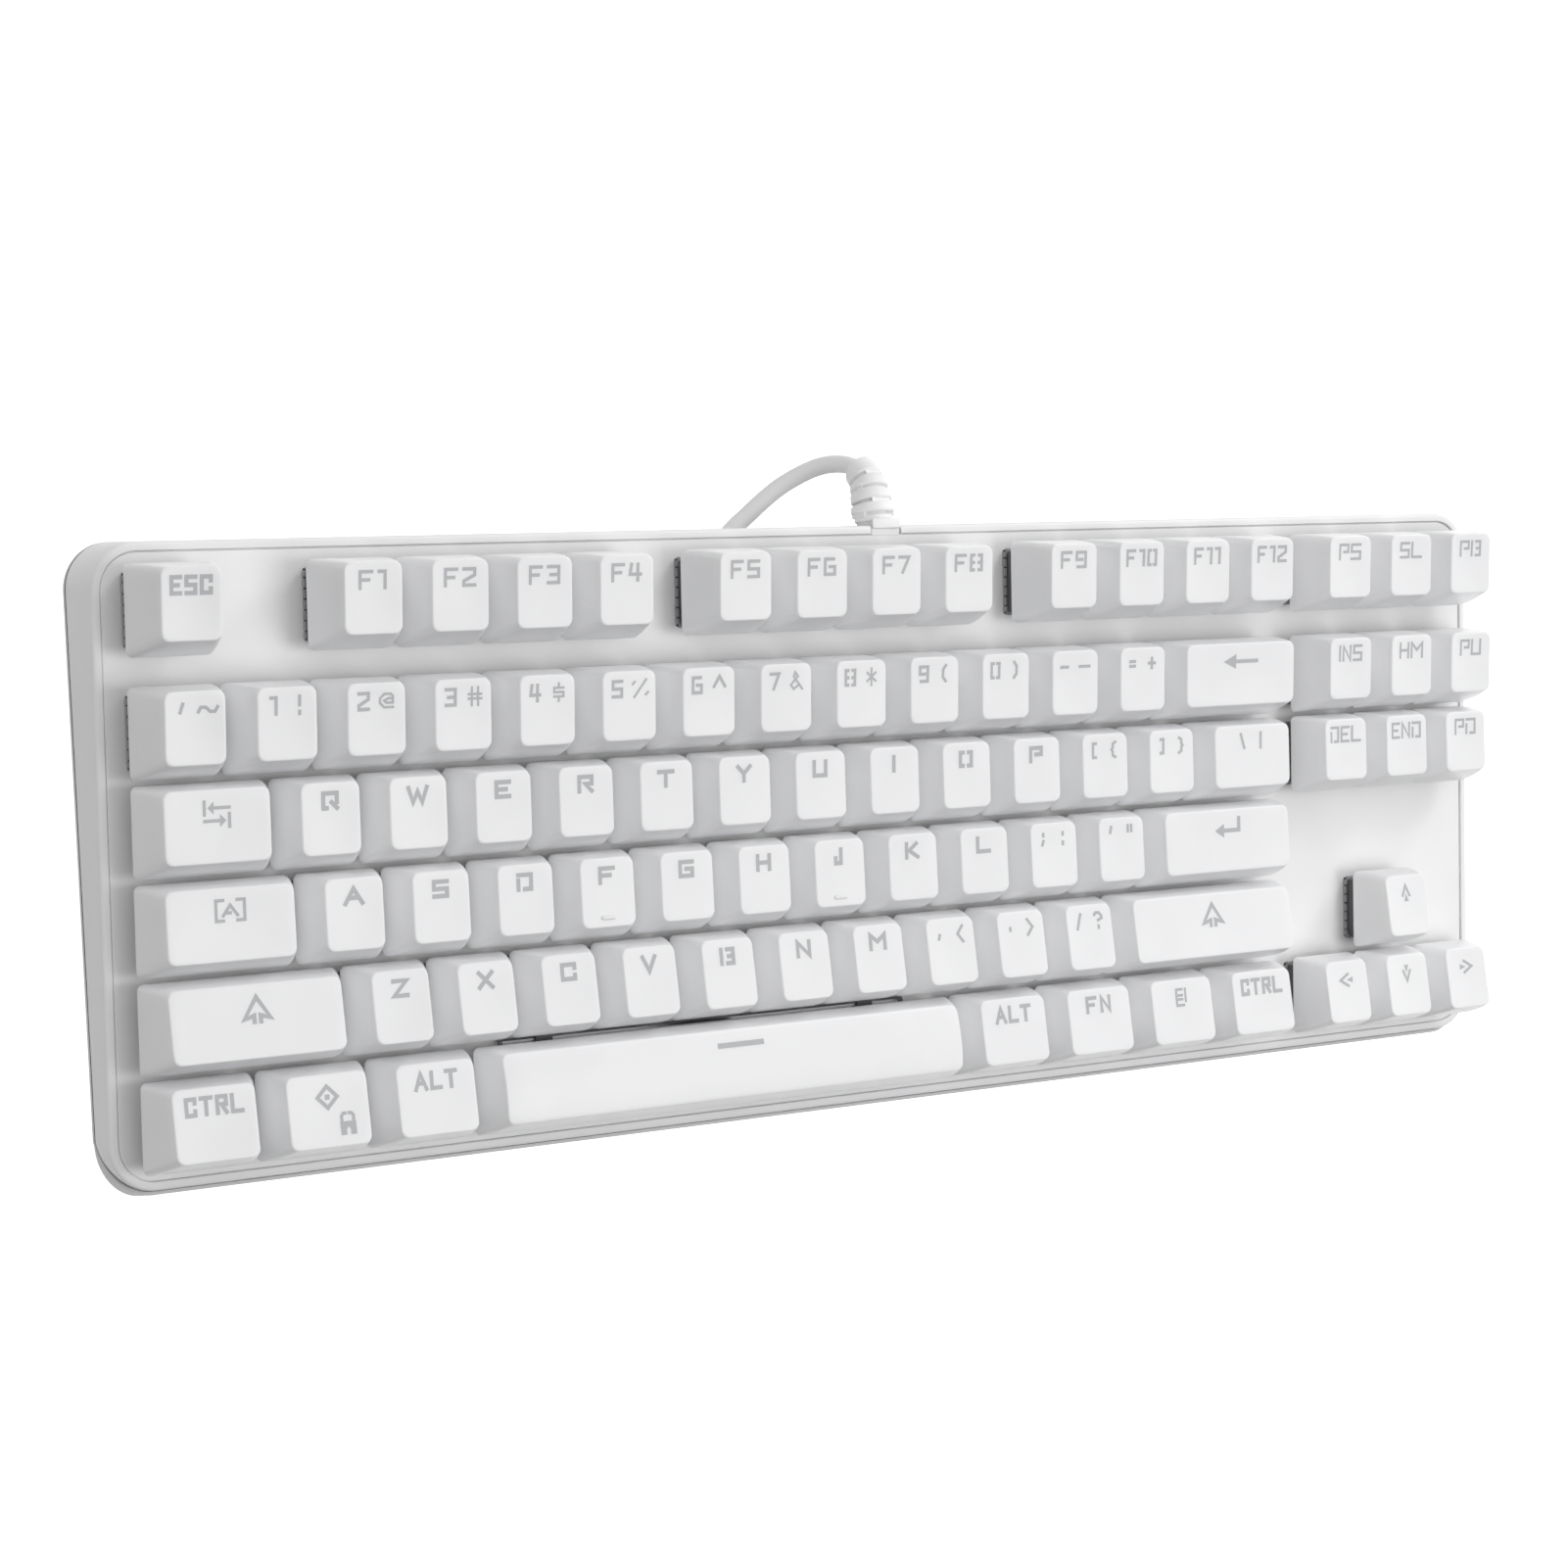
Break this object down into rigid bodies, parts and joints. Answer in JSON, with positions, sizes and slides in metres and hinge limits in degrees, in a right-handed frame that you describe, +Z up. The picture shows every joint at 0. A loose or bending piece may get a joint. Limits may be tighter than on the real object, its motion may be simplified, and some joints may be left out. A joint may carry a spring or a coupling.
{
  "type": "mechanical keyboard",
  "caption": "Compact mechanical keyboard with floating keycaps on a painted plate, a slim rounded frame, open flip feet and a hanked USB lead.",
  "frame": {"origin": "on the table under the middle of the case, with its flip feet open", "axes": "+X to the typist's right along the key rows, +Y away from the typist, +Z up from the table"},
  "size_m": [0.3558, 0.1438, 0.0489],
  "materials": {
    "cap": "smooth satin moulding in cool white with grey printed legends",
    "case": "finely textured cool white moulding",
    "plate": "white powder coat with a fine orange peel",
    "board": "white solder mask on glass laminate",
    "housing": "dark moulded nylon",
    "steel": "nickel-plated steel",
    "cable": "soft matt white sheath",
    "grip": "soft matt white overmould",
    "tie": "black hook and loop tape",
    "foot": "smooth moulded plastic",
    "rubber": "matt moulded rubber"
  },
  "bodies": {
    "case": {"top_frame": "case", "bottom_tray": "case", "switch_plate": "plate", "circuit_board": "board", "switch_housings": "housing", "cable_clip": "case", "strain_relief": "cable", "usb_cable": "cable", "cable_coil": "cable", "cable_tie": "tie", "usb_plug_grip": "grip", "usb_plug_shell": "steel", "front_pad_left": "rubber", "front_pad_right": "rubber"},
    "key_escape": {"key_escape": "cap"},
    "keys_f1_to_f4": {"keys_f1_to_f4": "cap"},
    "keys_f5_to_f8": {"keys_f5_to_f8": "cap"},
    "keys_f9_to_f12": {"keys_f9_to_f12": "cap"},
    "keys_print_to_pause": {"keys_print_to_pause": "cap"},
    "keys_grave_to_6": {"keys_grave_to_6": "cap"},
    "keys_7_to_equals": {"keys_7_to_equals": "cap"},
    "key_backspace": {"key_backspace": "cap"},
    "keys_insert_to_page_up": {"keys_insert_to_page_up": "cap"},
    "key_tab": {"key_tab": "cap"},
    "keys_q_to_t": {"keys_q_to_t": "cap"},
    "keys_y_to_p": {"keys_y_to_p": "cap"},
    "keys_brackets": {"keys_brackets": "cap"},
    "keys_delete_to_page_down": {"keys_delete_to_page_down": "cap"},
    "key_caps_lock": {"key_caps_lock": "cap"},
    "key_a": {"key_a": "cap"},
    "key_s": {"key_s": "cap"},
    "key_d": {"key_d": "cap"},
    "key_f": {"key_f": "cap"},
    "key_g": {"key_g": "cap"},
    "key_h": {"key_h": "cap"},
    "key_j": {"key_j": "cap"},
    "key_k": {"key_k": "cap"},
    "key_l": {"key_l": "cap"},
    "keys_semicolon_quote": {"keys_semicolon_quote": "cap"},
    "key_enter": {"key_enter": "cap"},
    "key_left_shift": {"key_left_shift": "cap"},
    "keys_z_to_b": {"keys_z_to_b": "cap"},
    "keys_n_to_m": {"keys_n_to_m": "cap"},
    "keys_comma_to_slash": {"keys_comma_to_slash": "cap"},
    "key_right_shift": {"key_right_shift": "cap"},
    "key_up": {"key_up": "cap"},
    "key_left_ctrl": {"key_left_ctrl": "cap"},
    "key_system": {"key_system": "cap"},
    "key_left_alt": {"key_left_alt": "cap"},
    "key_space": {"key_space": "cap"},
    "key_right_alt": {"key_right_alt": "cap"},
    "key_fn": {"key_fn": "cap"},
    "key_menu": {"key_menu": "cap"},
    "key_right_ctrl": {"key_right_ctrl": "cap"},
    "key_left": {"key_left": "cap"},
    "key_down": {"key_down": "cap"},
    "key_right": {"key_right": "cap"},
    "space_stabiliser": {"space_stabiliser": "steel"},
    "flip_foot_left": {"flip_foot_left": "foot"},
    "flip_foot_right": {"flip_foot_right": "foot"}
  },
  "joints": [
    {"name": "key_escape_travel", "type": "slide", "parent": "case", "child": "key_escape", "axis": [0, 0.165, -0.9863], "range_m": [0, 0.0039], "stiffness_N_per_m": 90, "springref_m": -0.0045},
    {"name": "keys_f1_to_f4_travel", "type": "slide", "parent": "case", "child": "keys_f1_to_f4", "axis": [0, 0.165, -0.9863], "range_m": [0, 0.0039], "stiffness_N_per_m": 360, "springref_m": -0.0045},
    {"name": "keys_f5_to_f8_travel", "type": "slide", "parent": "case", "child": "keys_f5_to_f8", "axis": [0, 0.165, -0.9863], "range_m": [0, 0.0039], "stiffness_N_per_m": 360, "springref_m": -0.0045},
    {"name": "keys_f9_to_f12_travel", "type": "slide", "parent": "case", "child": "keys_f9_to_f12", "axis": [0, 0.165, -0.9863], "range_m": [0, 0.0039], "stiffness_N_per_m": 360, "springref_m": -0.0045},
    {"name": "keys_print_to_pause_travel", "type": "slide", "parent": "case", "child": "keys_print_to_pause", "axis": [0, 0.165, -0.9863], "range_m": [0, 0.0039], "stiffness_N_per_m": 270, "springref_m": -0.0045},
    {"name": "keys_grave_to_6_travel", "type": "slide", "parent": "case", "child": "keys_grave_to_6", "axis": [0, 0.165, -0.9863], "range_m": [0, 0.0039], "stiffness_N_per_m": 630, "springref_m": -0.0045},
    {"name": "keys_7_to_equals_travel", "type": "slide", "parent": "case", "child": "keys_7_to_equals", "axis": [0, 0.165, -0.9863], "range_m": [0, 0.0039], "stiffness_N_per_m": 540, "springref_m": -0.0045},
    {"name": "key_backspace_travel", "type": "slide", "parent": "case", "child": "key_backspace", "axis": [0, 0.165, -0.9863], "range_m": [0, 0.0039], "stiffness_N_per_m": 90, "springref_m": -0.0045},
    {"name": "keys_insert_to_page_up_travel", "type": "slide", "parent": "case", "child": "keys_insert_to_page_up", "axis": [0, 0.165, -0.9863], "range_m": [0, 0.0039], "stiffness_N_per_m": 270, "springref_m": -0.0045},
    {"name": "key_tab_travel", "type": "slide", "parent": "case", "child": "key_tab", "axis": [0, 0.165, -0.9863], "range_m": [0, 0.0039], "stiffness_N_per_m": 90, "springref_m": -0.0045},
    {"name": "keys_q_to_t_travel", "type": "slide", "parent": "case", "child": "keys_q_to_t", "axis": [0, 0.165, -0.9863], "range_m": [0, 0.0039], "stiffness_N_per_m": 450, "springref_m": -0.0045},
    {"name": "keys_y_to_p_travel", "type": "slide", "parent": "case", "child": "keys_y_to_p", "axis": [0, 0.165, -0.9863], "range_m": [0, 0.0039], "stiffness_N_per_m": 450, "springref_m": -0.0045},
    {"name": "keys_brackets_travel", "type": "slide", "parent": "case", "child": "keys_brackets", "axis": [0, 0.165, -0.9863], "range_m": [0, 0.0039], "stiffness_N_per_m": 270, "springref_m": -0.0045},
    {"name": "keys_delete_to_page_down_travel", "type": "slide", "parent": "case", "child": "keys_delete_to_page_down", "axis": [0, 0.165, -0.9863], "range_m": [0, 0.0039], "stiffness_N_per_m": 270, "springref_m": -0.0045},
    {"name": "key_caps_lock_travel", "type": "slide", "parent": "case", "child": "key_caps_lock", "axis": [0, 0.165, -0.9863], "range_m": [0, 0.0039], "stiffness_N_per_m": 90, "springref_m": -0.0045},
    {"name": "key_a_travel", "type": "slide", "parent": "case", "child": "key_a", "axis": [0, 0.165, -0.9863], "range_m": [0, 0.0039], "stiffness_N_per_m": 90, "springref_m": -0.0045},
    {"name": "key_s_travel", "type": "slide", "parent": "case", "child": "key_s", "axis": [0, 0.165, -0.9863], "range_m": [0, 0.0039], "stiffness_N_per_m": 90, "springref_m": -0.0045},
    {"name": "key_d_travel", "type": "slide", "parent": "case", "child": "key_d", "axis": [0, 0.165, -0.9863], "range_m": [0, 0.0039], "stiffness_N_per_m": 90, "springref_m": -0.0045},
    {"name": "key_f_travel", "type": "slide", "parent": "case", "child": "key_f", "axis": [0, 0.165, -0.9863], "range_m": [0, 0.0039], "stiffness_N_per_m": 90, "springref_m": -0.0045},
    {"name": "key_g_travel", "type": "slide", "parent": "case", "child": "key_g", "axis": [0, 0.165, -0.9863], "range_m": [0, 0.0039], "stiffness_N_per_m": 90, "springref_m": -0.0045},
    {"name": "key_h_travel", "type": "slide", "parent": "case", "child": "key_h", "axis": [0, 0.165, -0.9863], "range_m": [0, 0.0039], "stiffness_N_per_m": 90, "springref_m": -0.0045},
    {"name": "key_j_travel", "type": "slide", "parent": "case", "child": "key_j", "axis": [0, 0.165, -0.9863], "range_m": [0, 0.0039], "stiffness_N_per_m": 90, "springref_m": -0.0045},
    {"name": "key_k_travel", "type": "slide", "parent": "case", "child": "key_k", "axis": [0, 0.165, -0.9863], "range_m": [0, 0.0039], "stiffness_N_per_m": 90, "springref_m": -0.0045},
    {"name": "key_l_travel", "type": "slide", "parent": "case", "child": "key_l", "axis": [0, 0.165, -0.9863], "range_m": [0, 0.0039], "stiffness_N_per_m": 90, "springref_m": -0.0045},
    {"name": "keys_semicolon_quote_travel", "type": "slide", "parent": "case", "child": "keys_semicolon_quote", "axis": [0, 0.165, -0.9863], "range_m": [0, 0.0039], "stiffness_N_per_m": 180, "springref_m": -0.0045},
    {"name": "key_enter_travel", "type": "slide", "parent": "case", "child": "key_enter", "axis": [0, 0.165, -0.9863], "range_m": [0, 0.0039], "stiffness_N_per_m": 90, "springref_m": -0.0045},
    {"name": "key_left_shift_travel", "type": "slide", "parent": "case", "child": "key_left_shift", "axis": [0, 0.165, -0.9863], "range_m": [0, 0.0039], "stiffness_N_per_m": 90, "springref_m": -0.0045},
    {"name": "keys_z_to_b_travel", "type": "slide", "parent": "case", "child": "keys_z_to_b", "axis": [0, 0.165, -0.9863], "range_m": [0, 0.0039], "stiffness_N_per_m": 450, "springref_m": -0.0045},
    {"name": "keys_n_to_m_travel", "type": "slide", "parent": "case", "child": "keys_n_to_m", "axis": [0, 0.165, -0.9863], "range_m": [0, 0.0039], "stiffness_N_per_m": 180, "springref_m": -0.0045},
    {"name": "keys_comma_to_slash_travel", "type": "slide", "parent": "case", "child": "keys_comma_to_slash", "axis": [0, 0.165, -0.9863], "range_m": [0, 0.0039], "stiffness_N_per_m": 270, "springref_m": -0.0045},
    {"name": "key_right_shift_travel", "type": "slide", "parent": "case", "child": "key_right_shift", "axis": [0, 0.165, -0.9863], "range_m": [0, 0.0039], "stiffness_N_per_m": 90, "springref_m": -0.0045},
    {"name": "key_up_travel", "type": "slide", "parent": "case", "child": "key_up", "axis": [0, 0.165, -0.9863], "range_m": [0, 0.0039], "stiffness_N_per_m": 90, "springref_m": -0.0045},
    {"name": "key_left_ctrl_travel", "type": "slide", "parent": "case", "child": "key_left_ctrl", "axis": [0, 0.165, -0.9863], "range_m": [0, 0.0039], "stiffness_N_per_m": 90, "springref_m": -0.0045},
    {"name": "key_system_travel", "type": "slide", "parent": "case", "child": "key_system", "axis": [0, 0.165, -0.9863], "range_m": [0, 0.0039], "stiffness_N_per_m": 90, "springref_m": -0.0045},
    {"name": "key_left_alt_travel", "type": "slide", "parent": "case", "child": "key_left_alt", "axis": [0, 0.165, -0.9863], "range_m": [0, 0.0039], "stiffness_N_per_m": 90, "springref_m": -0.0045},
    {"name": "key_space_travel", "type": "slide", "parent": "case", "child": "key_space", "axis": [0, 0.165, -0.9863], "range_m": [0, 0.0039], "stiffness_N_per_m": 90, "springref_m": -0.0045},
    {"name": "key_right_alt_travel", "type": "slide", "parent": "case", "child": "key_right_alt", "axis": [0, 0.165, -0.9863], "range_m": [0, 0.0039], "stiffness_N_per_m": 90, "springref_m": -0.0045},
    {"name": "key_fn_travel", "type": "slide", "parent": "case", "child": "key_fn", "axis": [0, 0.165, -0.9863], "range_m": [0, 0.0039], "stiffness_N_per_m": 90, "springref_m": -0.0045},
    {"name": "key_menu_travel", "type": "slide", "parent": "case", "child": "key_menu", "axis": [0, 0.165, -0.9863], "range_m": [0, 0.0039], "stiffness_N_per_m": 90, "springref_m": -0.0045},
    {"name": "key_right_ctrl_travel", "type": "slide", "parent": "case", "child": "key_right_ctrl", "axis": [0, 0.165, -0.9863], "range_m": [0, 0.0039], "stiffness_N_per_m": 90, "springref_m": -0.0045},
    {"name": "key_left_travel", "type": "slide", "parent": "case", "child": "key_left", "axis": [0, 0.165, -0.9863], "range_m": [0, 0.0039], "stiffness_N_per_m": 90, "springref_m": -0.0045},
    {"name": "key_down_travel", "type": "slide", "parent": "case", "child": "key_down", "axis": [0, 0.165, -0.9863], "range_m": [0, 0.0039], "stiffness_N_per_m": 90, "springref_m": -0.0045},
    {"name": "key_right_travel", "type": "slide", "parent": "case", "child": "key_right", "axis": [0, 0.165, -0.9863], "range_m": [0, 0.0039], "stiffness_N_per_m": 90, "springref_m": -0.0045},
    {"name": "space_stabiliser_turn", "type": "hinge", "parent": "case", "child": "space_stabiliser", "pos_m": [-0.04286, -0.04133, 0.01687], "axis": [1, 0, 0], "range_deg": [0, 25.91]},
    {"name": "flip_foot_left_fold", "type": "hinge", "parent": "case", "child": "flip_foot_left", "pos_m": [-0.15, 0.04728, 0.0153], "axis": [-1, 0, 0], "range_deg": [0, 93]},
    {"name": "flip_foot_right_fold", "type": "hinge", "parent": "case", "child": "flip_foot_right", "pos_m": [0.15, 0.04728, 0.0153], "axis": [-1, 0, 0], "range_deg": [0, 93]}
  ],
  "couplings": [
    {"joint": "space_stabiliser_turn", "follows": "key_space_travel", "rad_per_m": 115.06}
  ]
}
